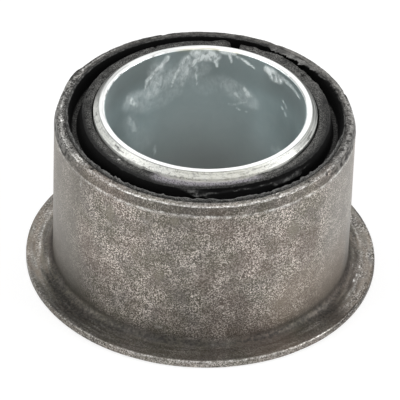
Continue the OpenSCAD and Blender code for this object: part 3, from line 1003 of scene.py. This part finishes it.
def rubber_masks(s, slot):
    """Masks of the rubber: dust on level faces and the lip, scuffed flash, bonding agent, and black painted
    shade in its hollows; the grooves' floors carry painted light and the lip's edge a painted highlight.
    """
    r, z, top, upper = s.r, s.z, s.top, s.upper
    fall = 0.65 - 0.55 * s.arc(24.0, 66.0, 10.0) - 0.35 * s.arc(80.0, 150.0, 16.0)
    fall = fall + 0.28 * s.arc(186.0, 240.0, 12.0) + 0.28 * s.arc(312.0, 350.0, 10.0)
    level = 1.0 + 0.45 * s.arc(22.0, 66.0, 10.0) + 0.6 * s.arc(298.0, 345.0, 10.0)
    level = level - 0.22 * s.arc(238.0, 260.0, 8.0) + 0.2 * s.arc(160.0, 220.0, 10.0)
    level = level * (0.95 + 0.7 * s.grain(r, 64, 141, 0.9) + 0.6 * s.grain(r, 180, 171, 0.4, 2))
    face = limited(s.on_top * 1.2) * (1.0 - slot) * (0.95 - fall * eased(r, s.collar - 1.9, s.collar - 0.1))
    lip_dust_and_sheen = s.spread(LIP_BEARINGS, LIP_DUST_AND_SHEEN)
    outer_face = eased(r, s.lip + 0.2, s.shell - 0.05) * eased(z, s.lip_top - 0.9, s.lip_top - 0.6)
    # Painted light on the grooves' floors
    in_groove = ebbing(z, upper + 0.1, upper + 0.4) * (z > upper - 0.5) * (r > s.collar) * (r < s.lip)
    on_foot = ebbing(z, s.foot + 0.1, s.foot + 0.5)
    dust = strongest(
        np.clip(face * level, 0.0, 1.5),
        s.on_lip * lip_dust_and_sheen * np.clip(0.9 + 1.2 * s.grain(r, 210, 157, 0.5, 2), 0.0, 1.2),
        outer_face * lip_dust_and_sheen * np.clip(0.6 + 1.6 * s.grain(z, 240, 163, 0.4, 2), 0.0, 1.2),
        0.7 * in_groove,
        0.6 * on_foot * (0.8 + 0.7 * s.grain(r, 64, 167, 0.9)),
    )

    flakes = s.arc(274.0, 324.0, 5.0) * bell(z - LUMP_Z - 0.35 * s.wave(60, 149), 0.17)
    flakes = flakes * eased(r, s.collar - 0.5, s.collar - 0.2) * (r < s.floor_in)
    # Painted highlight along the lip's inner edge, as strong as the lip is pale; the other scuffs are the
    # rubber's own.
    lip_edge = round_bell(r - s.lip - 0.12, z - s.lip_top, 0.26)
    scuff = strongest(
        0.55 * round_bell(r - s.collar - 0.15, z - top + 0.55, 0.35) * s.arc(215.0, 325.0, 20.0),
        lip_dust_and_sheen * lip_edge * (1.0 + 1.9 * s.grain(r, 190, 139, 0.4, 2)),
        1.1 * limited(s.lump) * (0.7 + 1.2 * s.grain(z, 160, 153, 0.4, 2)),
        flakes * limited(0.45 + 1.3 * s.wave(110, 151, 2)),
    )

    near_top = z > top - 1.0
    residue = 0.9 * s.arc(250.0, 294.0, 8.0) * ebbing(r, s.sleeve + 1.1, s.collar - 0.2) * near_top
    flap = s.arc(38.0, 60.0, 4.0) * (0.6 + 0.6 * s.wave(160, 137, 2))
    smeared = strongest(
        0.9 * s.arc(252.0, 292.0, 8.0) * bell(r - s.sleeve, 0.6) * near_top,
        0.4 * flap * s.on_lip,
        4.0 * round_bell(r * s.aside(224.3), r - 27.9, 0.2) * s.on_top,
    )

    # Painted shadow in the gap beside the sleeve.
    gap = ebbing(r, s.sleeve + 0.3, s.sleeve + 0.5) * (z > top - 1.1)
    brink = 0.2 * s.arc(215.0, 340.0, 15.0) * (1.0 + s.wave(130, 159, 2))
    # Painted shade on the grooves' walls and the collar's outer wall.
    wall_shade = eased(z, upper + 0.25, upper + 0.6) * ebbing(z, s.lip_top - 0.22, s.lip_top - 0.02)
    wall_shade = wall_shade * eased(r, s.collar - 0.1, s.collar + 0.02) * ebbing(r, s.lip + 0.1, s.lip + 0.3)
    inner_wall_shade = eased(r, s.collar - 0.1, s.collar + 0.05) * ebbing(r, s.floor_in, s.floor_in + 0.1)
    inner_wall_shade = inner_wall_shade * ebbing(z, top - 0.55 + brink, top - 0.3 + brink) * (z > upper)
    wall_shade = np.maximum(wall_shade, inner_wall_shade) * (1.0 - limited(1.3 * s.lump)) * (1.0 - limited(flakes))
    # The pit mask is black painted shade: in the bites, the gap and on the walls.
    pit = strongest(limited(s.bites / 0.5), 0.9 * gap * (1.0 - s.filled), 0.98 * wall_shade)
    return {"dust": dust, "scuff": scuff, "residue": residue, "smeared": smeared, "pit": pit}


def mould_rubber(size):
    """Rubber section turned round the Z axis, with its vent and its painted masks."""
    s = Moulding(size)
    radius, height, slot = rubber_shape(s, size)
    masks = rubber_masks(s, slot)
    return ring("moulded_rubber", radius, height, masks, rubber_finish(size), "rubber_ring", "rubber")


# Turned sleeve

# Tones on the sleeve, and the tone of the bore's painted shade
BORE_CLOUD = (0.62, 0.69, 0.69)
BORE_HAZE = (0.95, 0.97, 0.96)
BORE_SHADE_TONE = (0.27, 0.275, 0.265)
TOOL_LINES = (0.16, 0.165, 0.16)
CREAM_STREAK = (0.34, 0.34, 0.33)
CREAM_SPECK = (0.07, 0.068, 0.066)
SCRATCHED = (0.06, 0.06, 0.058)

# Smears of grease in the bore: strength, then points of bearing, height, half width
SMEARS = (
    (0.8, (85.6, 43.2, 1.8), (90.0, 43.4, 2.6), (97.0, 43.8, 1.6)),
    (0.95, (99.0, 40.4, 0.6), (96.5, 41.8, 0.9), (92.0, 42.8, 1.2), (87.5, 42.9, 1.2), (85.0, 41.6, 0.9),
     (84.7, 40.2, 0.5)),
    (0.75, (96.3, 40.2, 0.35), (96.1, 37.0, 0.4), (95.7, 34.4, 0.25)),
    (0.42, (101.5, 42.0, 2.2), (104.5, 38.5, 2.8), (106.0, 35.5, 2.4)),
    (0.7, (101.0, 43.0, 0.9), (105.5, 40.5, 0.7), (109.5, 37.5, 0.6), (110.5, 35.0, 0.4)),
    (0.55, (101.0, 41.0, 0.9), (102.5, 38.0, 1.1), (104.0, 35.0, 0.8)),
    (0.6, (113.8, 43.8, 0.8), (117.0, 41.6, 0.8), (121.5, 40.2, 0.9), (126.5, 38.6, 0.9), (128.0, 36.0, 0.6)),
    (0.26, (120.0, 40.6, 3.6), (112.0, 37.6, 4.2), (103.0, 38.6, 4.0), (94.0, 39.2, 3.4)),
    (0.13, (141.0, 29.0, 3.0), (134.0, 24.0, 4.0), (128.0, 20.0, 3.0)),
    (0.42, (114.5, 42.6, 0.8), (119.0, 39.6, 1.0), (124.5, 37.0, 1.2), (127.0, 33.6, 0.8)),
    (0.42, (113.5, 37.6, 2.8), (119.0, 36.2, 3.6), (124.5, 34.2, 2.8)),
    (0.2, (108.0, 33.0, 2.4), (118.0, 31.0, 3.2), (130.0, 31.5, 3.0), (139.0, 33.5, 1.6)),
    (1.0, (139.0, 34.7, 1.3), (136.8, 33.4, 0.8)),
    (0.4, (140.5, 29.6, 0.9), (137.0, 26.8, 1.3), (134.0, 25.2, 0.9)),
    (0.9, (66.5, 34.6, 1.0), (64.6, 33.4, 0.8)),
    (0.75, (72.0, 33.0, 0.7), (70.6, 32.4, 0.5)),
    (0.45, (62.6, 33.6, 0.5), (66.5, 31.2, 0.5), (72.0, 29.8, 0.4), (76.0, 29.6, 0.3)),
    (0.27, (78.0, 35.4, 3.0), (70.0, 33.2, 3.8), (62.0, 32.0, 3.0)),
    (0.7, (70.8, 28.9, 0.4), (69.4, 28.5, 0.35)),
    (0.7, (65.6, 28.5, 0.35), (65.0, 28.3, 0.3)),
    (0.85, (77.4, 44.2, 0.7), (76.4, 42.2, 0.45)),
    (0.8, (82.5, 44.7, 0.8), (78.0, 44.6, 0.8), (74.0, 44.6, 0.5)),
    (0.26, (141.0, 35.0, 3.4), (131.0, 33.6, 4.4), (122.0, 32.0, 3.4)),
    (0.95, (72.4, 44.0, 0.6), (67.0, 43.0, 0.6), (61.4, 42.2, 0.4)),
    (0.6, (53.0, 43.2, 1.2), (48.0, 42.6, 2.4), (42.5, 42.2, 1.6)),
    (0.7, (52.5, 43.6, 0.7), (47.5, 42.8, 0.9), (41.0, 42.2, 0.8)),
    (0.4, (44.0, 43.4, 0.9), (33.0, 43.2, 0.9), (21.0, 43.0, 0.6)),
    (0.5, (38.8, 36.6, 0.5), (38.2, 36.4, 0.4)),
    (0.45, (36.4, 36.2, 0.45), (35.8, 35.9, 0.4)),
    (0.35, (39.4, 34.4, 0.5), (38.6, 34.2, 0.4)),
    (0.4, (36.6, 33.6, 0.5), (36.0, 33.0, 0.4)),
    (0.45, (120.6, 17.6, 0.5), (120.2, 15.2, 0.4)),
    (0.3, (46.0, 20.6, 1.0), (40.0, 21.8, 0.8)),
    (0.14, (98.0, 36.5, 3.0), (90.0, 34.0, 3.5), (80.0, 36.0, 3.0)),
)
# Radius on which the smears were laid out
SMEAR_R = 24.0
# Nicks in the bore's edge: bearing, depth, half width in degrees
BORE_NICKS = ((131.5, 0.16, 1.0), (129.0, 0.12, 0.8), (139.0, 0.08, 1.2), (35.0, 0.1, 1.0), (75.0, 0.08, 2.0))
# Scratches on the chamfer: first and last bearing, height, half width, strength
SCRATCHES = (
    (216.5, 219.5, 44.75, 0.16, 1.0), (219.5, 224.0, 44.6, 0.12, 0.8), (238.0, 239.4, 44.1, 0.16, 0.9),
    (338.0, 344.0, 44.55, 0.12, 0.9), (337.0, 339.5, 44.3, 0.14, 0.8), (325.0, 328.0, 44.25, 0.12, 0.7),
    (186.0, 188.5, 44.7, 0.14, 0.8), (193.0, 195.0, 44.5, 0.12, 0.7), (255.0, 268.0, 44.9, 0.09, 0.55),
    (283.0, 292.0, 44.85, 0.1, 0.55), (200.0, 214.0, 44.9, 0.08, 0.55), (296.0, 306.0, 44.8, 0.1, 0.6),
)


def sleeve_finish(look):
    """Bright turned steel; the bore is plated blue-grey, carries smears of dried grease and has painted shade
    on its wall.
    """
    material, bench, shader, place = finish("turned_steel")
    flat = bench.stretched(place, (1.0, 1.0, 3.0))
    wall = bench.mask("bore_wall")
    cloud = bench.noise(place, 60.0, 2.0, 0.5)
    haze = bench.noise(place, 330.0, 4.0, 0.6, 0.6)
    bore = bench.coats(look.bore_tint, (bench.step(cloud, 0.3, 0.7, 0.0, 0.35), BORE_CLOUD),
                       (bench.step(haze, 0.35, 0.7, 0.0, 0.14), BORE_HAZE), (bench.mask("oiled"), BORE_SHADE_TONE))
    streak = bench.noise(flat, 700.0, 3.0, 0.65)
    speck = bench.shared("clustered_flecks", place, 0.9, 0.03, 3.0, 0.0)
    agent = bench.coats(look.cream, (bench.step(streak, 0.5, 0.66, 0.0, 0.7), CREAM_STREAK),
                        (bench.times(speck, 0.8), CREAM_SPECK))
    lines = bench.noise(bench.stretched(place, (0.12, 0.12, 5.0)), 520.0, 2.0, 0.6)
    cream = bench.shared("thin_film_and_shade", flat, bench.mask("cream"), 1.0, 0.5)
    scratch = bench.shared("rubbed_edge_and_sheen", place, bench.mask("scratch"), 0.7, 0.7)
    yellow = bench.shared("thin_film_and_shade", place, bench.mask("stain"), 1.5, 0.7)
    drawn_down = bench.stretched(place, (1.0, 1.0, 0.55))
    grease = bench.shared("thin_film_and_shade", drawn_down, bench.mask("grease"), 1.0, 1.1)
    tone = bench.coats(
        look.chamfer_tint,
        (bench.step(lines, 0.4, 0.62), TOOL_LINES),
        (bench.mask("end_face"), look.steel),
        (cream, agent),
        (wall, bore),
        (bench.times(scratch, 0.9), SCRATCHED),
        (yellow, look.stain),
        (grease, look.grease),
    )
    bench.feed(shader.inputs["Base Color"], tone)
    film = bench.maths("MAXIMUM", bench.times(grease, 0.9), bench.times(cream, 0.9))
    bench.feed(shader.inputs["Metallic"], bench.minus(1.0, film))
    rough = bench.plus(0.34, bench.times(wall, 0.08))
    bench.feed(shader.inputs["Roughness"], bench.plus(rough, bench.times(grease, 0.2)))
    height = bench.times(bench.shared("fine_relief", flat, 0.8, 0.4), 0.25)
    bench.bumped(shader, bench.plus(height, grease), 0.3, 0.00008)
    return material


def grease_smears(across, z):
    """Smears in the bore as soft strokes on the unrolled wall; across is the arc from 90 degrees, in mm.

    The wall is first bent by noise, so that the strokes get ragged edges.
    """
    turn = across / (2.0 * math.pi * SMEAR_R)
    bent = across + 0.6 * layered(turn, z, 80, 201, 1.8, 4)
    rise = z + 0.6 * layered(turn, z, 80, 211, 1.8, 4)
    return strongest(*(
        strength * stroke(bent, rise, [(math.radians(a - 90.0) * SMEAR_R, h, half) for a, h, half in points])
        for strength, *points in SMEARS))


def turn_sleeve(size):
    """Sleeve turned round the Z axis: end faces, chamfers and bore.

    The outline moves along its normals by the grease's thickness, and by nicks and noise at the bore's edge.
    """
    bore, outer, top = size.bore_r / MM, size.outer_r / MM, size.top / MM
    chamfer, ease = size.chamfer / MM, size.bore_chamfer / MM
    s = Section([
        (bore + ease, 0.0, 0.06, 2, 0.7),
        (outer - chamfer, 0.0, 0.1, 2, 0.5),
        (outer, chamfer, 0.1, 2, 9.0),
        (outer, top - 2.6, 0.0, 0, 0.3),
        (outer, top - chamfer, 0.12, 3, 0.2),
        (outer - chamfer, top, 0.12, 3, 0.2),
        (bore + ease, top, 0.08, 3, 0.15),
        (bore, top - ease, 0.08, 3, 0.3),
        (bore, top - 22.0, 0.0, 0, 1.2),
        (bore, ease, 0.06, 2, 0.2),
    ], size.columns)
    r, z = s.r, s.z

    inside = ebbing(r, bore + 0.02, bore + 0.1)
    far = limited(np.sin(np.radians(s.angle)))
    # Painted shade on the bore's wall: darker on the far wall, more near its top, and towards the foot;
    # lighter on the sides at mid-height and darker near their top.
    oiled = (0.4 + 0.2 * eased(z, 32.0, 40.0)) * far ** 2 + ebbing(z, 8.0, 32.0) * (0.27 + 0.3 * far)
    lighter_sides = s.arc(18.0, 54.0, 14.0) + 0.8 * s.arc(128.0, 166.0, 14.0)
    oiled = inside * limited(oiled) * (1.0 - 0.7 * lighter_sides * eased(z, 16.0, 26.0) * ebbing(z, 34.0, 38.0))
    sides = 0.34 * s.arc(128.0, 172.0, 12.0) + 0.28 * s.arc(10.0, 46.0, 12.0)
    oiled = limited(oiled + inside * sides * eased(z, 35.0, 41.0))
    film = inside * grease_smears(s.aside(90.0) * bore, z)
    at_edge = round_bell(r - bore - 0.2, z - top + 0.1, 0.35)
    lift = 0.10 * film + 0.03 * s.wave(110, 301) * at_edge
    for where, deep, wide in BORE_NICKS:
        lift = lift - deep * s.near(where, wide) * at_edge

    corner = outer - chamfer
    on_chamfer = eased(r, corner - 0.1, corner + 0.1) * eased(z, top - 2.4, top - 1.8)
    bitten = s.arc(116.0, 176.0, 8.0) * round_bell(r - bore - 0.1, z - top + 0.18, 0.22)
    bitten = bitten * limited(0.55 + 1.6 * s.wave(120, 321, 2))
    scratch = strongest(0.62 * bitten, *(
        strength * s.arc(first, last, 0.8) * bell(z - level, wide) * on_chamfer
        for first, last, level, wide, strength in SCRATCHES))
    stain = 0.45 * s.arc(74.0, 104.0, 6.0) * bell(r - bore - 0.15, 0.22) * eased(z, top - 1.0, top - 0.5)
    stain = stain + 0.12 * s.arc(262.0, 295.0, 14.0) * on_chamfer
    edge_dirt = 0.75 * s.arc(14.0, 52.0, 8.0) * ebbing(r, bore + ease - 0.05, bore + ease + 0.15)
    dull = s.arc(116.0, 184.0, 14.0) * eased(r, 24.6, 25.0)
    arcs = 0.42 * eased(s.grain(r, 22, 311, 0.3), -0.05, 0.5) * (0.2 + 0.8 * s.arc(90.0, 190.0, 20.0))
    end_face = (1.0 - arcs - 0.22 * dull) * (1.0 - edge_dirt)
    end_face = end_face * eased(z, top - ease - 0.05, top - ease + 0.05)
    end_face = end_face * ebbing(r, corner - 0.12, corner - 0.02)
    cream = 0.58 * s.arc(182.0, 312.0, 14.0) + 0.24 * s.arc(318.0, 346.0, 12.0)
    cream = cream + 0.35 * s.arc(228.0, 312.0, 18.0)
    cream = cream * eased(r, corner, corner + 0.15) * eased(z, top - 4.0, top - 3.0)
    masks = {"bore_wall": inside, "oiled": oiled, "end_face": end_face, "cream": cream, "grease": film,
             "scratch": scratch, "stain": limited(stain)}
    return ring("turned_sleeve", r + s.nr * lift, z + s.nz * lift, masks, sleeve_finish(size), "inner_sleeve",
                "sleeve_steel")


# Stage

# Soft boxes: name, place, side in metres, power in watts
LAMPS = (
    ("top_box", (-0.10, 0.20, 0.75), 0.7, 1.8),
    ("left_box", (-0.72, -0.26, 0.34), 0.5, 3.8),
    ("right_box", (0.78, -0.14, 0.31), 0.5, 5.4),
)
# Point of the bushing that the lamps face, and the one that the camera looks at
LAMP_TARGET = (0.0, 0.0, 0.02)
CAMERA_TARGET = (-0.00055, 0.0, 0.0175)
# Height of the floor, a hair under the flange
FLOOR_Z = -0.0001
# Distance from the axis over which the floor's glow sets in, under the flange's edge
GLOW_FROM = 0.0405
GLOW_FULL = 0.0425


def ray_kinds(bench):
    """1 for rays from the camera, and 1 for rays from gloss or through glass."""
    path = bench.node("ShaderNodeLightPath").outputs
    return path["Is Camera Ray"], bench.maths("MAXIMUM", path["Is Glossy Ray"], path["Is Transmission Ray"])


def set_surround(look):
    """White surround for the camera and for reflections, dimmer as a light."""
    world = bpy.data.worlds.new("white_surround")
    world.use_nodes = True
    bench = NodeBench(world.node_tree)
    background = world.node_tree.nodes["Background"]
    shown = bench.maths("MAXIMUM", *ray_kinds(bench))
    bench.feed(background.inputs["Color"], look.white)
    bench.feed(background.inputs["Strength"], bench.step(shown, 0.0, 1.0, look.ambient, 1.0))
    bpy.context.scene.world = world


def lay_floor(look):
    """Level square under the flange: it shows white with a soft shadow, and stays dark in the bore."""
    half = 0.5 * look.floor_size
    mesh = bpy.data.meshes.new("studio_floor")
    corner = np.array([[-half, -half], [half, -half], [half, half], [-half, half]])
    mesh.from_pydata(np.column_stack([corner, np.full(4, FLOOR_Z)]).tolist(), [], [(0, 1, 2, 3)])
    floor = bpy.data.objects.new("studio_floor", mesh)
    bpy.context.scene.collection.objects.link(floor)
    material = bpy.data.materials.new("pale_floor")
    material.use_nodes = True
    tree = material.node_tree
    bench = NodeBench(tree)
    tree.nodes.remove(tree.nodes["Principled BSDF"])
    seen, mirrored = ray_kinds(bench)
    place = bench.node("ShaderNodeTexCoord").outputs["Object"]
    away = bench.node("ShaderNodeVectorMath", {0: place}, operation="LENGTH").outputs["Value"]
    clear = bench.step(away, GLOW_FROM, GLOW_FULL)
    pale = bench.minus(0.8, bench.times(seen, 0.46))
    pale = bench.plus(pale, bench.times(mirrored, 0.15))
    level = bench.plus(bench.times(seen, 0.74), bench.times(mirrored, 0.1))
    tone = bench.node("ShaderNodeCombineColor", {"Red": pale, "Green": pale, "Blue": pale}).outputs[0]
    shade = bench.node("ShaderNodeBsdfDiffuse", {"Color": tone})
    glow = bench.node("ShaderNodeEmission", {"Color": look.white, "Strength": bench.times(level, clear)})
    shown = bench.node("ShaderNodeAddShader", {0: shade.outputs[0], 1: glow.outputs[0]})
    tree.links.new(shown.outputs[0], tree.nodes["Material Output"].inputs["Surface"])
    mesh.materials.append(material)


def hang_lamp(name, place, side, power):
    """Square soft box that faces the middle of the bushing."""
    light = bpy.data.lights.new(name, "AREA")
    light.shape = "SQUARE"
    light.size = side
    light.energy = power
    lamp = bpy.data.objects.new(name, light)
    lamp.location = place
    lamp.rotation_euler = (Vector(LAMP_TARGET) - Vector(place)).to_track_quat("-Z", "Y").to_euler()
    bpy.context.scene.collection.objects.link(lamp)


def stand_camera(look):
    """Camera on the -Y side, looking down at the elevation and turned by the roll about its own axis."""
    ahead = Vector((0.0, math.cos(look.elevation), -math.sin(look.elevation)))
    right = Vector((1.0, 0.0, 0.0))
    up = right.cross(ahead)
    c, s = math.cos(look.roll), math.sin(look.roll)
    right, up = c * right + s * up, c * up - s * right
    turn = Matrix((right, up, -ahead)).transposed().to_4x4()
    lens = bpy.data.cameras.new("camera")
    lens.sensor_width = 36.0
    lens.lens = look.lens
    camera = bpy.data.objects.new("camera", lens)
    camera.matrix_world = Matrix.Translation(Vector(CAMERA_TARGET) - ahead * look.distance) @ turn
    bpy.context.scene.collection.objects.link(camera)
    bpy.context.scene.camera = camera


# Operators and panel

class BUSHING_OT_stage(bpy.types.Operator):
    """Lay the floor, set the surround and the lamps, and stand the camera"""
    bl_idname = "bushing.stage"
    bl_label = "Set the stage"

    def execute(self, context):
        look = context.scene.bushing_stage
        context.scene.view_settings.view_transform = "Standard"
        set_surround(look)
        lay_floor(look)
        for lamp in LAMPS:
            hang_lamp(*lamp)
        stand_camera(look)
        return {"FINISHED"}


class BUSHING_OT_shell(bpy.types.Operator):
    """Draw the flanged steel shell"""
    bl_idname = "bushing.shell"
    bl_label = "Draw the shell"

    def execute(self, context):
        draw_shell(context.scene.bushing_shell)
        return {"FINISHED"}


class BUSHING_OT_rubber(bpy.types.Operator):
    """Mould the rubber ring between the shell and the sleeve"""
    bl_idname = "bushing.rubber"
    bl_label = "Mould the rubber"

    def execute(self, context):
        mould_rubber(context.scene.bushing_rubber)
        return {"FINISHED"}


class BUSHING_OT_sleeve(bpy.types.Operator):
    """Turn the inner sleeve with its bore"""
    bl_idname = "bushing.sleeve"
    bl_label = "Turn the sleeve"

    def execute(self, context):
        turn_sleeve(context.scene.bushing_sleeve)
        return {"FINISHED"}


SETTINGS = {
    "bushing_stage": BUSHING_PG_stage,
    "bushing_shell": BUSHING_PG_shell,
    "bushing_rubber": BUSHING_PG_rubber,
    "bushing_sleeve": BUSHING_PG_sleeve,
}
OPERATORS = (BUSHING_OT_stage, BUSHING_OT_shell, BUSHING_OT_rubber, BUSHING_OT_sleeve)


class BUSHING_PT_panel(bpy.types.Panel):
    """Sizes and colours of the bushing, and the steps that build it"""
    bl_idname = "BUSHING_PT_panel"
    bl_label = "Axle beam bushing"
    bl_space_type = "VIEW_3D"
    bl_region_type = "UI"
    bl_category = "Bushing"

    def draw(self, context):
        for (label, group), operator in zip(SETTINGS.items(), OPERATORS):
            box = self.layout.box()
            box.operator(operator.bl_idname)
            for key in group.__annotations__:
                box.prop(getattr(context.scene, label), key)


def register():
    for label, group in SETTINGS.items():
        bpy.utils.register_class(group)
        setattr(bpy.types.Scene, label, PointerProperty(type=group))
    for item in (*OPERATORS, BUSHING_PT_panel):
        bpy.utils.register_class(item)


def unregister():
    for item in (BUSHING_PT_panel, *reversed(OPERATORS)):
        bpy.utils.unregister_class(item)
    for label, group in reversed(SETTINGS.items()):
        delattr(bpy.types.Scene, label)
        bpy.utils.unregister_class(group)


def main():
    register()
    bpy.ops.bushing.stage()
    bpy.ops.bushing.shell()
    bpy.ops.bushing.rubber()
    bpy.ops.bushing.sleeve()


if __name__ == "__main__":
    main()
